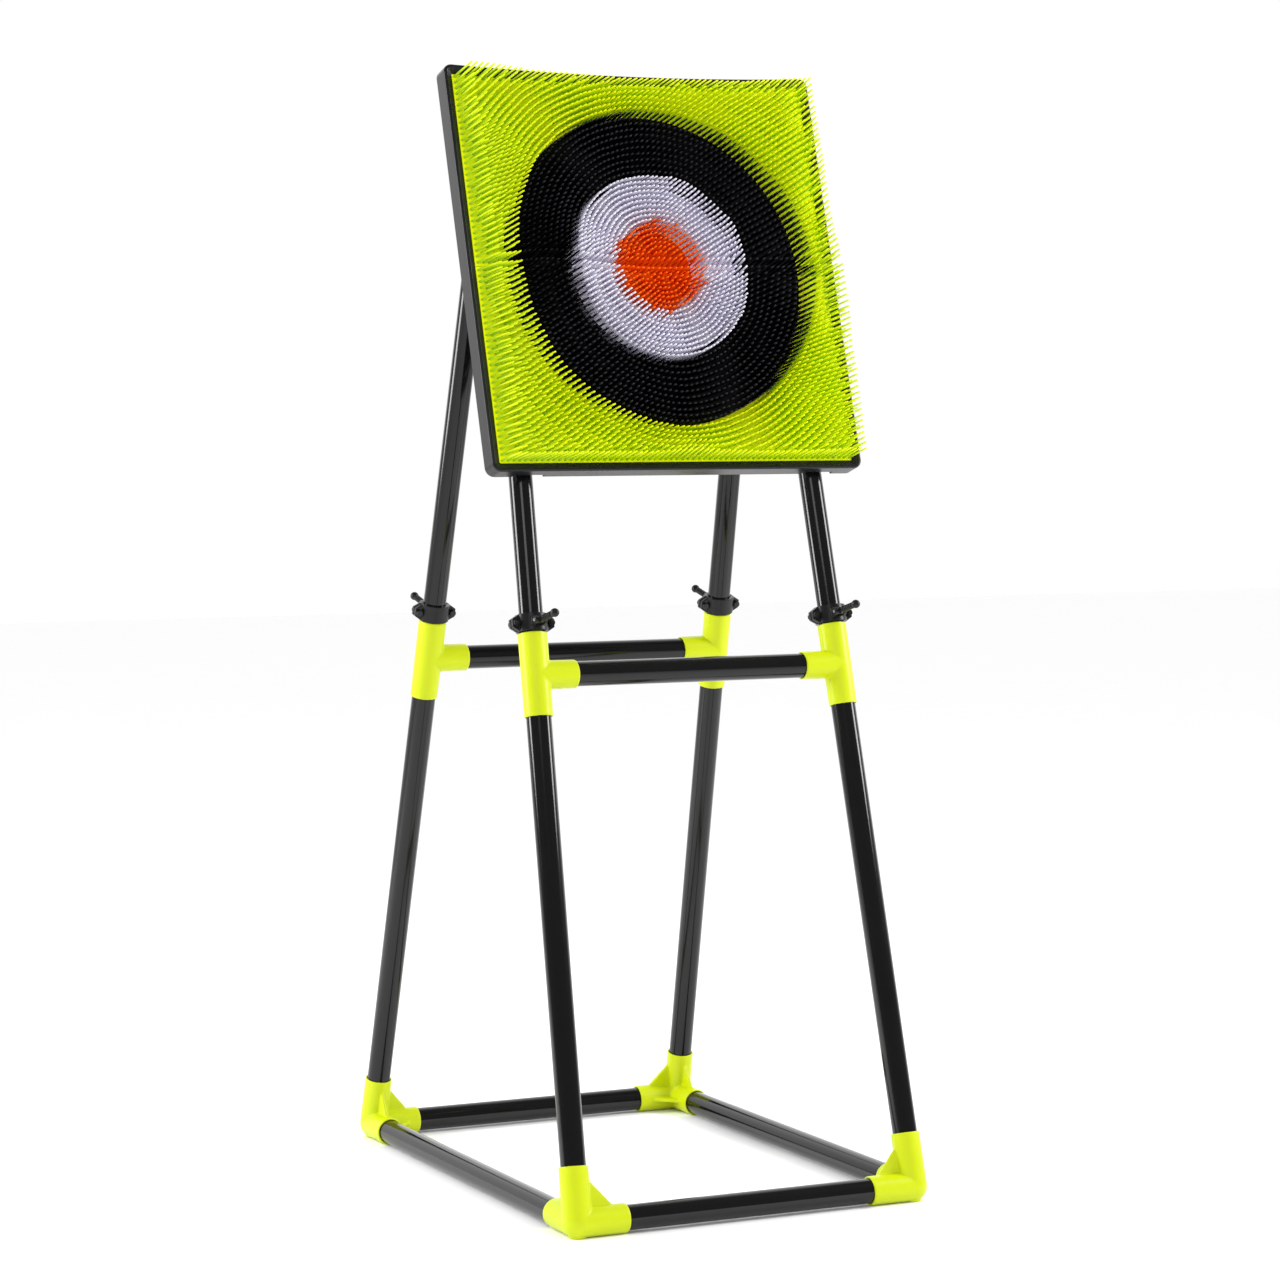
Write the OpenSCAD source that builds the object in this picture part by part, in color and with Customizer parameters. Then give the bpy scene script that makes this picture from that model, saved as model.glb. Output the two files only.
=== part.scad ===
// Bristle throwing target on a four-legged tube stand.
// Right is +X, the target faces -Y, up is +Z. The origin is on the floor, under the middle of the base.

/* [Stand] */
// Half the distance between the left and right base tubes
half_width = 222; // [180:1:260]
// Half the distance between the front and rear base tubes
half_depth = 323; // [300:1:340]
// Lean of each leg towards the middle, seen from the side (degrees)
leg_lean = 14; // [13:0.25:15]
// Lean of each leg towards the middle, seen from the front (degrees)
leg_splay = 1.75; // [1:0.25:2.5]
// Height of the base tubes' centre lines above the floor
base_height = 17.5; // [17.2:0.1:19]
// Outside diameter of the stand tubes
tube_od = 30; // [29:0.5:31]
// Wall thickness of the tubes
tube_wall = 0.6; // [0.6:0.1:0.8]

/* [Connectors] */
// Outside diameter of the connector sockets
socket_od = 34; // [33.6:0.2:36]
// Diametral play between a tube and its socket
socket_play = 0.2; // [0.1:0.05:0.3]
// Reach of a corner connector's leg socket from the corner
corner_leg_reach = 65; // [55:1:75]
// Reach of a corner connector's base sockets from the corner
corner_base_reach = 61; // [55:1:70]
// Depth at which a tube stops, measured from where the centre lines meet
socket_stop = 19; // [18:0.5:22]
// Thickness of the webs between the sockets
web_thick = 5; // [3:0.5:8]
// Distance along a leg from the corner to the middle of its tee
tee_at = 641; // [600:1:680]
// Length of a tee along the leg
tee_run = 101; // [80:1:120]
// Reach of a tee's side socket from the leg's centre line
tee_reach = 51; // [40:1:60]

/* [Clamps] */
// Outside diameter of a clamp
clamp_od = 39; // [38:0.5:42]
// Height of a clamp
clamp_height = 21; // [18:1:24]
// Gap between a tee and the clamp above it
clamp_gap = 1.2; // [0.5:0.1:2]
// Gap between the two halves of a clamp
clamp_split = 2; // [1:0.5:3]
// Distance from the leg's centre line to each clamp bolt
bolt_offset = 22.5; // [22:0.5:24]
// Diameter of the clamp bolts
bolt_d = 5; // [4:0.5:6]
// Distance from the leg's centre line to the lever's pin
lever_pin_offset = 25; // [24.5:0.5:27]
// Length of a lever from its pin to the middle of its ball
lever_length = 43; // [35:1:50]

/* [Sliding tubes] */
// Outside diameter of the sliding upper tubes
slider_od = 28.65; // [28.62:0.01:28.7]
// Place of the front pivot along the front legs
front_pivot_at = 928; // [924:1:932]
// Place of the rear pivot along the rear legs
rear_pivot_at = 1268; // [1264:1:1272]
// Lower end of the front upper tubes, along the leg
front_slider_start = 420; // [380:1:500]
// Lower end of the rear upper tubes, along the leg
rear_slider_start = 480; // [400:1:560]
// Diameter of the pivot axle and pins
axle_d = 8; // [7:0.5:8]
// Diametral play of a running fit
running_play = 0.16; // [0.1:0.02:0.2]
// Bore of the rear eyes, wide enough for the pin's wander over the travel
rear_eye_bore = 14; // [13:0.5:14.5]

/* [Target] */
// Width of the target
target_width = 496; // [470:1:520]
// Height of the target along its own face
target_height = 512; // [500:1:520]
// Depth of the target's tray
target_depth = 26; // [24:0.5:27]
// Lean of the target's face from upright (degrees)
target_lean = 16.8; // [16.5:0.1:17]
// Forward distance from the origin to the middle of the tray's front face
target_forward = 77; // [76:0.5:78]
// Height of the middle of the tray's front face
target_middle = 1125.5; // [1124:0.5:1127]
// Width of the tray's front rim
rim_width = 11; // [8:0.5:14]
// Thickness of the tray's front rim
rim_thick = 5; // [3:0.5:6]
// Corner radius of the tray
tray_corner = 11; // [8:1:16]
// Depth of the bristle boards behind the rim's front
board_recess = 6; // [4:0.5:10]
// Height of the bristle tips in front of the rim
tip_height = 20; // [14:1:28]
// Radius of the black ring
black_radius = 201; // [190:1:210]
// Radius of the white ring
white_radius = 117; // [110:1:125]
// Radius of the orange bull's eye
orange_radius = 59; // [50:1:65]

/* [Hidden] */
$fn = 64;

left = -1;
right = 1;
front = -1;
rear = 1;
both_sides = [left, right];
corners = [[left, front], [right, front], [left, rear], [right, rear]];

socket_bore = tube_od + socket_play;
corner_ball_d = socket_od + 0.8;
leg_stop = socket_stop + 5;
foot_d = 26;
lower_bore = tube_od - 2 * tube_wall;
clamp_start = tee_at + tee_run / 2 + clamp_gap;
clamp_end = clamp_start + clamp_height;
clamp_middle = clamp_start + clamp_height / 2;

// One millimetre along a leg moves this far inwards, towards the middle and up.
leg_norm = sqrt(1 + pow(tan(leg_lean), 2) + pow(tan(leg_splay), 2));
leg_step = [tan(leg_splay) / leg_norm, tan(leg_lean) / leg_norm, 1 / leg_norm];
leg_pitch = asin(leg_step[1]);

ear_width = 5;
ear_reach = 27;
nut_height = 4;
nut_across = 8.6;
bolt_end = ear_width + clamp_split / 2 + nut_height + 1;
cheek_gap = 9;
cheek_thick = 3.5;
lever_pin_d = 4;
lever_hub = 8;
rod_d = 5;
rib_d = 7.4;
rib_wide = 1.6;
rib_pitch = 4.2;
ball_d = 10.5;
rib_count = 6;

eye_width = 16;
eye_od = 20;
eye_neck = 24;
neck_d = 14;
plug_length = 26;
plug_play = 0.3;
bracket_gap = 23;
bracket_cheek = 5;
bracket_od = 22;
bracket_plate = 3;
bracket_foot = 62;
nut_od = 15;
axle_nut = 7;
axle_end = 6;
screw_head = 7;
screw_high = 2;

tray_wall = 4;
opening_corner = 2;
panel_thick = 3;
board_thick = 4;
board_play = 0.5;
rib_grid = 80;
rib_thick = 2.5;
notch_width = 40;
notch_height = 36;
notch_depth = 8;

lime = "#dbe600";
black = "#1a1a1c";

// A point on a leg's centre line, at a distance along it.
function on_leg(side, end, along) = [
    side * (half_width - leg_step[0] * along),
    end * (half_depth - leg_step[1] * along),
    base_height + leg_step[2] * along
];
// The depth behind the rim's front, and the height along the face, of a point of the whole model.
function in_target(p) = [
    (p[1] + target_forward) * cos(target_lean) - (p[2] - target_middle) * sin(target_lean),
    (p[1] + target_forward) * sin(target_lean) + (p[2] - target_middle) * cos(target_lean)
];
front_pivot = in_target(on_leg(right, front, front_pivot_at));
rear_pivot = in_target(on_leg(right, rear, rear_pivot_at));
front_pivot_x = on_leg(right, front, front_pivot_at)[0];
rear_pivot_x = on_leg(right, rear, rear_pivot_at)[0];

// Local Z runs up the leg from the corner.
module along_leg(side, end) {
    translate(on_leg(side, end, 0))
        rotate([end * leg_pitch, -side * leg_splay, 0])
            children();
}

// Local -Y points away from the stand, at the middle of the clamp.
module at_clamp(side, end) {
    along_leg(side, end)
        translate([0, 0, clamp_middle])
            rotate([0, 0, end == rear ? 180 : 0])
                children();
}

// Local Y runs into the tray from the rim's front, local Z up the face.
module in_target_frame() {
    translate([0, -target_forward, target_middle])
        rotate([-target_lean, 0, 0])
            children();
}

// A rod along X, centred.
module rod_x(d, length) {
    rotate([0, 90, 0]) cylinder(d = d, h = length, center = true);
}

// A socket or its bore, from the middle of a joint towards local X.
module arm_x(d, from, to) {
    translate([from, 0, 0]) rotate([0, 90, 0]) cylinder(d = d, h = to - from);
}

module pipe(od, id, from, to) {
    translate([0, 0, from])
        difference() {
            cylinder(d = od, h = to - from);
            translate([0, 0, -1]) cylinder(d = id, h = to - from + 2);
        }
}

// ---- Stand ----

// A triangular web in the plane of local X and Z.
module web(reach_x, reach_z) {
    rotate([90, 0, 0])
        linear_extrude(web_thick, center = true)
            polygon([[0, 0], [reach_x, 0], [reach_x, 8], [8, reach_z], [0, reach_z]]);
}

module corner(side, end) {
    color(lime)
        difference() {
            union() {
                along_leg(side, end) {
                    cylinder(d = socket_od, h = corner_leg_reach);
                    scale([-side, 1, 1]) web(corner_base_reach - 12, corner_leg_reach - 14);
                    rotate([0, 0, -end * 90]) web(corner_base_reach - 12, corner_leg_reach - 14);
                }
                translate(on_leg(side, end, 0)) {
                    sphere(d = corner_ball_d);
                    scale([-side, 1, 1]) arm_x(socket_od, 0, corner_base_reach);
                    rotate([0, 0, -end * 90]) arm_x(socket_od, 0, corner_base_reach);
                    scale([-side, -end, 1])
                        linear_extrude(web_thick, center = true)
                            polygon([[0, 0], [corner_base_reach - 12, 0], [0, corner_base_reach - 12]]);
                    translate([0, 0, -base_height]) cylinder(d = foot_d, h = base_height);
                }
            }
            along_leg(side, end)
                translate([0, 0, leg_stop]) cylinder(d = socket_bore, h = corner_leg_reach);
            translate(on_leg(side, end, 0)) {
                scale([-side, 1, 1]) arm_x(socket_bore, socket_stop, 2 * corner_base_reach);
                rotate([0, 0, -end * 90]) arm_x(socket_bore, socket_stop, 2 * corner_base_reach);
            }
        }
}

module base_tube_x(end) {
    reach = half_width - socket_stop - 0.5;
    color(black)
        translate([-reach, end * half_depth, base_height])
            rotate([0, 90, 0])
                pipe(tube_od, lower_bore, 0, 2 * reach);
}

module base_tube_y(side) {
    reach = half_depth - socket_stop - 0.5;
    color(black)
        translate([side * half_width, reach, base_height])
            rotate([90, 0, 0])
                pipe(tube_od, lower_bore, 0, 2 * reach);
}

module leg_tube(side, end) {
    color(black)
        along_leg(side, end)
            pipe(tube_od, lower_bore, leg_stop + 0.5, clamp_end);
}

module tee(side, end) {
    color(lime)
        difference() {
            union() {
                along_leg(side, end)
                    translate([0, 0, tee_at - tee_run / 2]) cylinder(d = socket_od, h = tee_run);
                translate(on_leg(side, end, tee_at))
                    scale([-side, 1, 1]) {
                        arm_x(socket_od, 0, tee_reach);
                        arm_x(socket_od + 5, 0, socket_od / 2 + 3);
                    }
            }
            along_leg(side, end)
                translate([0, 0, tee_at - tee_run / 2 - 1]) cylinder(d = socket_bore, h = tee_run + 2);
            translate(on_leg(side, end, tee_at))
                scale([-side, 1, 1]) arm_x(socket_bore, socket_stop, 2 * tee_reach);
        }
}

module crossbar(end) {
    start = on_leg(right, end, tee_at);
    reach = start[0] - socket_stop - 0.5;
    color(black)
        translate([-reach, start[1], start[2]])
            rotate([0, 90, 0])
                pipe(tube_od, lower_bore, 0, 2 * reach);
}

// ---- Clamps ----

// Half of a clamp on local -Y: a half ring with an ear on each side.
module clamp_half() {
    difference() {
        union() {
            cylinder(d = clamp_od, h = clamp_height, center = true);
            for (side = both_sides)
                translate([side * ear_reach / 2, -ear_width / 2 - clamp_split / 2, 0])
                    cube([ear_reach, ear_width, clamp_height - 1], center = true);
            children();
        }
        cylinder(d = socket_bore, h = 2 * clamp_height, center = true);
        translate([-50, -clamp_split / 2, -50]) cube(100);
        for (side = both_sides)
            translate([side * bolt_offset, 0, 0])
                rotate([90, 0, 0]) cylinder(d = bolt_d + 0.2, h = 80, center = true);
    }
}

module clamp_shell(side, end) {
    color(black)
        at_clamp(side, end)
            difference() {
                clamp_half()
                    for (cheek = both_sides)
                        translate([cheek * (cheek_gap + cheek_thick) / 2, 0, 0]) {
                            translate([0, -lever_pin_offset, 0]) rod_x(lever_hub + 2, cheek_thick);
                            translate([0, -lever_pin_offset / 2, 0])
                                cube([cheek_thick, lever_pin_offset, lever_hub + 2], center = true);
                        }
                translate([0, -lever_pin_offset, 0]) rod_x(lever_pin_d, 40);
                translate([0, -lever_pin_offset, 0]) rod_x(lever_hub + 1, cheek_gap);
            }
}

module clamp_backs() {
    color(black)
        for (place = corners)
            at_clamp(place[0], place[1])
                rotate([0, 0, 180]) clamp_half();
}

module at_clamp_bolts() {
    for (place = corners)
        at_clamp(place[0], place[1])
            for (side = both_sides)
                translate([side * bolt_offset, 0, 0]) rotate([90, 0, 0]) children();
}

module clamp_bolts() {
    head = ear_width + clamp_split / 2;
    color("#2b2b2e")
        at_clamp_bolts() {
            translate([0, 0, -head]) cylinder(d = bolt_d, h = head + bolt_end);
            translate([0, 0, -head - nut_height]) cylinder(d = nut_across, h = nut_height, $fn = 6);
        }
}

module clamp_nuts() {
    color("#2b2b2e")
        at_clamp_bolts()
            translate([0, 0, ear_width + clamp_split / 2])
                difference() {
                    cylinder(d = nut_across, h = nut_height, $fn = 6);
                    translate([0, 0, -1]) cylinder(d = bolt_d + 0.02, h = nut_height + 2, $fn = 64);
                }
}

module lever_pins() {
    color("silver")
        for (place = corners)
            at_clamp(place[0], place[1])
                translate([0, -lever_pin_offset, 0])
                    rod_x(lever_pin_d - 0.02, cheek_gap + 2 * cheek_thick + 1);
}

// A ribbed lever with a ball end, pointing away from the stand.
module clamp_lever(side, end) {
    color(black)
        at_clamp(side, end)
            translate([0, -lever_pin_offset, 0])
                difference() {
                    union() {
                        rod_x(lever_hub, cheek_gap - 0.8);
                        rotate([90, 0, 0]) {
                            cylinder(d = rod_d, h = lever_length);
                            for (i = [0 : rib_count - 1])
                                translate([0, 0, 12 + i * rib_pitch]) cylinder(d = rib_d, h = rib_wide);
                            translate([0, 0, lever_length]) sphere(d = ball_d);
                        }
                        rotate([90, 0, 90])
                            linear_extrude(3, center = true)
                                polygon([[-14, 2], [0, 4], [0, -4], [-14, -2]]);
                    }
                    rod_x(lever_pin_d + running_play, 40);
                }
}

// ---- Sliding tubes ----

module upper_tube(side, end) {
    pivot_at = end == front ? front_pivot_at : rear_pivot_at;
    start = end == front ? front_slider_start : rear_slider_start;
    color(black)
        along_leg(side, end)
            pipe(slider_od, slider_od - 2 * tube_wall, start, pivot_at - eye_neck);
}

// The plug in a tube's upper end, with the eye that turns on the axle or pin.
module tube_eye(side, end) {
    pivot_at = end == front ? front_pivot_at : rear_pivot_at;
    bore = end == front ? axle_d + running_play : rear_eye_bore;
    color(black)
        difference() {
            union() {
                along_leg(side, end)
                    translate([0, 0, pivot_at - eye_neck]) {
                        translate([0, 0, -plug_length])
                            cylinder(d = slider_od - 2 * tube_wall - plug_play, h = plug_length + 1);
                        cylinder(d = slider_od, h = 3);
                        cylinder(d = neck_d, h = eye_neck);
                    }
                translate(on_leg(side, end, pivot_at)) rod_x(eye_od, eye_width);
            }
            translate(on_leg(side, end, pivot_at)) rod_x(bore, 2 * eye_width);
        }
}

axle_reach = front_pivot_x + bracket_gap / 2 + bracket_cheek + axle_nut + axle_end;

module pivot_axle() {
    color("silver")
        translate([0, on_leg(right, front, front_pivot_at)[1], on_leg(right, front, front_pivot_at)[2]])
            rod_x(axle_d, 2 * axle_reach);
}

module axle_nuts() {
    pivot = on_leg(right, front, front_pivot_at);
    color("#2b2b2e")
        for (side = both_sides)
            translate([side * (axle_reach - axle_end - axle_nut / 2 + 0.8), pivot[1], pivot[2]])
                difference() {
                    rod_x(nut_od, axle_nut);
                    rod_x(axle_d + 0.02, axle_nut + 2);
                }
}

// ---- Target ----

// A rectangle with round corners in local X and Z, drawn from one depth to another.
module slab(width, height, corner_radius, from, to) {
    translate([0, to, 0])
        rotate([90, 0, 0])
            linear_extrude(to - from)
                union() {
                    square([width - 2 * corner_radius, height], center = true);
                    square([width, height - 2 * corner_radius], center = true);
                    for (x = both_sides, z = both_sides)
                        translate([x * (width / 2 - corner_radius), z * (height / 2 - corner_radius)])
                            circle(corner_radius);
                }
}

module tube_notches() {
    for (side = both_sides)
        translate([side * front_pivot_x - notch_width / 2, target_depth - notch_depth, -target_height / 2 - 1])
            cube([notch_width, notch_depth + 1, notch_height + 1]);
}

module target_tray() {
    inner_width = target_width - 2 * tray_wall;
    inner_height = target_height - 2 * tray_wall;
    color(black)
        in_target_frame()
            difference() {
                slab(target_width, target_height, tray_corner, 0, target_depth);
                slab(target_width - 2 * rim_width, target_height - 2 * rim_width, opening_corner, -1, rim_thick + 1);
                slab(inner_width, inner_height, tray_corner - tray_wall, rim_thick, target_depth + 1);
                tube_notches();
            }
}

module back_panel() {
    width = target_width - 2 * tray_wall - board_play;
    height = target_height - 2 * tray_wall - board_play;
    behind_board = board_recess + board_thick;
    corner_radius = tray_corner - tray_wall - board_play / 2;
    color(black)
        in_target_frame()
            difference() {
                union() {
                    slab(width, height, corner_radius, target_depth - panel_thick, target_depth);
                    difference() {
                        slab(width, height, corner_radius, behind_board, target_depth - 1);
                        slab(width - 8, height - 8, corner_radius - 4, behind_board - 1, target_depth);
                    }
                    for (i = [-2 : 2]) {
                        translate([i * rib_grid - rib_thick / 2, behind_board, 2 - height / 2])
                            cube([rib_thick, target_depth - behind_board - 1, height - 4]);
                        translate([2 - width / 2, behind_board, i * rib_grid - rib_thick / 2])
                            cube([width - 4, target_depth - behind_board - 1, rib_thick]);
                    }
                    for (side = both_sides)
                        translate([
                            side * front_pivot_x - notch_width / 2 - 3,
                            behind_board,
                            2 - height / 2
                        ])
                            cube([notch_width + 6, target_depth - behind_board - 1, notch_height + 3]);
                }
                tube_notches();
            }
}

// A bracket with two cheeks round an eye. Its foot stands on the back panel.
module bracket(side, pivot, pivot_x, foot_low, foot_high) {
    color(black)
        in_target_frame()
            translate([side * pivot_x, 0, pivot[1]])
                difference() {
                    union() {
                        translate([-bracket_foot / 2, target_depth, -foot_low])
                            cube([bracket_foot, bracket_plate, foot_low + foot_high]);
                        for (cheek = both_sides)
                            translate([cheek * (bracket_gap + bracket_cheek) / 2, 0, 0]) {
                                translate([0, pivot[0], 0]) rod_x(bracket_od, bracket_cheek);
                                rotate([90, 0, 90])
                                    linear_extrude(bracket_cheek, center = true)
                                        polygon([
                                            [target_depth, -foot_low],
                                            [target_depth + bracket_plate, -foot_low],
                                            [pivot[0], -bracket_od / 2],
                                            [pivot[0], bracket_od / 2],
                                            [target_depth + bracket_plate, foot_high],
                                            [target_depth, foot_high]
                                        ]);
                            }
                    }
                    translate([0, pivot[0], 0]) rod_x(axle_d + running_play, 100);
                }
}

lower_foot = [13, 27];
upper_foot = [17, 27];

module lower_bracket(side) {
    bracket(side, front_pivot, front_pivot_x, lower_foot[0], lower_foot[1]);
}

module upper_bracket(side) {
    bracket(side, rear_pivot, rear_pivot_x, upper_foot[0], upper_foot[1]);
}

module upper_pivot_pins() {
    reach = bracket_gap + 2 * bracket_cheek;
    color("silver")
        in_target_frame()
            for (side = both_sides)
                translate([side * rear_pivot_x, rear_pivot[0], rear_pivot[1]]) {
                    rod_x(axle_d, reach + 6);
                    for (end = both_sides)
                        translate([end * (reach / 2 + 2), 0, 0]) rod_x(nut_od - 2, 3);
                }
}

module screws_at(pivot, pivot_x, foot) {
    inset = 7;
    for (side = both_sides, x = both_sides, z = [inset - foot[0], foot[1] - inset])
        translate([
            side * pivot_x + x * (bracket_foot / 2 - inset + 1),
            target_depth + bracket_plate,
            pivot[1] + z
        ])
            rotate([-90, 0, 0]) cylinder(d = screw_head, h = screw_high);
}

module bracket_screws() {
    color("silver")
        in_target_frame() {
            screws_at(front_pivot, front_pivot_x, lower_foot);
            screws_at(rear_pivot, rear_pivot_x, upper_foot);
        }
}

// The part of its children above (1) or below (-1) the seam across the middle.
module half_of_target(half) {
    intersection() {
        children();
        translate([-target_width, -100, half > 0 ? board_play / 2 : -target_height - board_play / 2])
            cube([2 * target_width, 200, target_height]);
    }
}

board_width = target_width - 2 * tray_wall - board_play;
board_height = target_height - 2 * tray_wall - board_play;

module bristle_board(half) {
    color(lime)
        in_target_frame()
            half_of_target(half)
                slab(board_width, board_height, tray_corner - tray_wall, board_recess, board_recess + board_thick);
}

module disc(radius) {
    translate([0, board_recess, 0])
        rotate([90, 0, 0]) cylinder(r = radius, h = board_recess + tip_height, $fn = 128);
}

// A field of bristles from an inner to an outer radius, as one block.
module bristle_ring(tint, half, inner, outer) {
    color(tint)
        in_target_frame()
            half_of_target(half)
                difference() {
                    disc(outer);
                    if (inner > 0) scale([1, 3, 1]) disc(inner);
                }
}

module bristles_lime(half) {
    width = target_width - 2 * rim_width - 2;
    height = target_height - 2 * rim_width - 2;
    color(lime)
        in_target_frame()
            half_of_target(half)
                difference() {
                    slab(width, height, opening_corner, -tip_height, board_recess);
                    translate([0, 50, 0]) rotate([90, 0, 0]) cylinder(r = black_radius, h = 100, $fn = 128);
                }
}

corner(left, front);  // corner_front_left
corner(right, front);  // corner_front_right
corner(left, rear);  // corner_rear_left
corner(right, rear);  // corner_rear_right
base_tube_x(front);  // base_tube_front
base_tube_x(rear);  // base_tube_rear
base_tube_y(left);  // base_tube_left
base_tube_y(right);  // base_tube_right
leg_tube(left, front);  // leg_tube_front_left
leg_tube(right, front);  // leg_tube_front_right
leg_tube(left, rear);  // leg_tube_rear_left
leg_tube(right, rear);  // leg_tube_rear_right
tee(left, front);  // tee_front_left
tee(right, front);  // tee_front_right
tee(left, rear);  // tee_rear_left
tee(right, rear);  // tee_rear_right
crossbar(front);  // crossbar_front
crossbar(rear);  // crossbar_rear
clamp_shell(left, front);  // clamp_shell_front_left
clamp_shell(right, front);  // clamp_shell_front_right
clamp_shell(left, rear);  // clamp_shell_rear_left
clamp_shell(right, rear);  // clamp_shell_rear_right
clamp_backs();
clamp_bolts();
clamp_nuts();
lever_pins();
clamp_lever(left, front);  // clamp_lever_front_left
clamp_lever(right, front);  // clamp_lever_front_right
clamp_lever(left, rear);  // clamp_lever_rear_left
clamp_lever(right, rear);  // clamp_lever_rear_right
upper_tube(left, front);  // upper_tube_front_left
upper_tube(right, front);  // upper_tube_front_right
upper_tube(left, rear);  // upper_tube_rear_left
upper_tube(right, rear);  // upper_tube_rear_right
tube_eye(left, front);  // tube_eye_front_left
tube_eye(right, front);  // tube_eye_front_right
tube_eye(left, rear);  // tube_eye_rear_left
tube_eye(right, rear);  // tube_eye_rear_right
pivot_axle();
axle_nuts();
target_tray();
back_panel();
lower_bracket(left);  // lower_bracket_left
lower_bracket(right);  // lower_bracket_right
upper_bracket(left);  // upper_bracket_left
upper_bracket(right);  // upper_bracket_right
upper_pivot_pins();
bracket_screws();
bristle_board(1);  // bristle_board_upper
bristle_board(-1);  // bristle_board_lower
bristles_lime(1);  // bristles_lime_upper
bristles_lime(-1);  // bristles_lime_lower
bristle_ring("#101010", 1, white_radius, black_radius);  // bristles_black_upper
bristle_ring("#101010", -1, white_radius, black_radius);  // bristles_black_lower
bristle_ring("#f2ecf6", 1, orange_radius, white_radius);  // bristles_white_upper
bristle_ring("#f2ecf6", -1, orange_radius, white_radius);  // bristles_white_lower
bristle_ring("#ff4a08", 1, 0, orange_radius);  // bristles_orange_upper
bristle_ring("#ff4a08", -1, 0, orange_radius);  // bristles_orange_lower
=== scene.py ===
"""Bristle throwing target on a four-legged tube stand.

Lime connectors join gloss black tubes. A tray of soft bristles leans back between the sliding tubes.
Right is +X, the target faces -Y, up is +Z, and lengths are in metres.
"""

import math

import bmesh
import bpy
import numpy as np
from mathutils import Matrix, Vector


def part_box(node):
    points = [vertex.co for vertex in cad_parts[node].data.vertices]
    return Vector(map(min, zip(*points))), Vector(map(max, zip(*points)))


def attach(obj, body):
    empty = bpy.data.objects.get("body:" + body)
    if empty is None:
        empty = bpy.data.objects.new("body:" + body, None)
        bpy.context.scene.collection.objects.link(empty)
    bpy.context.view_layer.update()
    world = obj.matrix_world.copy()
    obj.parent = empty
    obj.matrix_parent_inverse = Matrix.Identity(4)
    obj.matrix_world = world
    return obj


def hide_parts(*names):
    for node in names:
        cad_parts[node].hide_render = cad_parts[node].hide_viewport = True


bl_info = {
    "name": "Bristle Throwing Target",
    "version": (1, 0, 0),
    "blender": (4, 5, 0),
    "location": "View3D > Sidebar > Target",
    "description": "Builds the moulded, coated and bristled surfaces of a throwing target",
    "category": "Add Mesh",
}

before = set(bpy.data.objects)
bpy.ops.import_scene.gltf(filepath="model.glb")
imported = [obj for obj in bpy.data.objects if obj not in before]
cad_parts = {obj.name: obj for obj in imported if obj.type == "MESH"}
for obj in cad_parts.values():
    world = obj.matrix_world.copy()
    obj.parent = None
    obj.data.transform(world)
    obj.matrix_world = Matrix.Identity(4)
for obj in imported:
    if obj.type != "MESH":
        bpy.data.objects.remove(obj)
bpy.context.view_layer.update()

MM = 0.001
LEFT, RIGHT, FRONT, REAR = -1, 1, -1, 1
SIDES = {"left": LEFT, "right": RIGHT}
ENDS = {"front": FRONT, "rear": REAR}
CORNERS = [(f"{e}_{s}", SIDES[s], ENDS[e]) for e in ENDS for s in SIDES]

# The stand: half width and depth of the base, the height of its tubes, the lean and splay of a leg,
# then distances along a leg from its corner.
HALF_WIDTH, HALF_DEPTH, BASE_HEIGHT = 0.222, 0.323, 0.0175
LEG_LEAN, LEG_SPLAY = math.radians(14), math.radians(1.75)
TUBE_R, TUBE_WALL, FIT_GAP = 0.015, 0.0006, 0.0005
SOCKET_BORE, SOCKET_STOP, LEG_STOP = 0.0151, 0.019, 0.024
TEE_AT, TEE_RUN = 0.641, 0.101
CLAMP_START, CLAMP_HEIGHT = 0.6927, 0.021
SLIDER_R, EYE_NECK = 0.014325, 0.024
PIVOT_AT = {FRONT: 0.928, REAR: 1.268}
SLIDER_START = {FRONT: 0.420, REAR: 0.480}
BOLT_OFFSET, BOLT_R, NUT_ACROSS, NUT_HEIGHT = 0.0225, 0.0025, 0.0075, 0.004
LEVER_PIN, PIVOT_R = 0.025, 0.004

# The target's tray: size, depth, lean, and the place of the middle of its front face.
TRAY_W, TRAY_H, TRAY_D = 0.496, 0.512, 0.026
TRAY_LEAN, TRAY_FORWARD, TRAY_MIDDLE = math.radians(16.8), 0.077, 1.1255
RIM, TRAY_CORNER, TRAY_WALL, TRAY_BOW, NOTCH = 0.011, 0.011, 0.004, 0.007, 0.02
BOARD_DEPTH, BOARD_THICK, BRISTLE_LENGTH = 0.006, 0.004, 0.033

# The colour bands from the middle outwards, with their radii, and how far their middle stands low.
BANDS = [("orange", 0.0, 0.0596), ("white", 0.0596, 0.1192), ("black", 0.1192, 0.2012), ("lime", 0.2012, 9.0)]
RING_DROP = 0.002


# ---- Places ----


def along_leg(side, end):
    """The leg's own axes: Z runs up the leg from the corner, leaning and splaying towards the middle."""
    norm = math.sqrt(1 + math.tan(LEG_LEAN) ** 2 + math.tan(LEG_SPLAY) ** 2)
    pitch = math.asin(math.tan(LEG_LEAN) / norm)
    turn = Matrix.Rotation(-side * LEG_SPLAY, 4, "Y") @ Matrix.Rotation(end * pitch, 4, "X")
    return Matrix.Translation((side * HALF_WIDTH, end * HALF_DEPTH, BASE_HEIGHT)) @ turn


def on_leg(side, end, distance):
    return along_leg(side, end) @ Vector((0, 0, distance))


def at_clamp(side, end):
    """The clamp's own axes: -Y points away from the stand."""
    turn = Matrix.Rotation(math.pi if end == REAR else 0, 4, "Z")
    return along_leg(side, end) @ Matrix.Translation((0, 0, CLAMP_START + CLAMP_HEIGHT / 2)) @ turn


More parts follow.
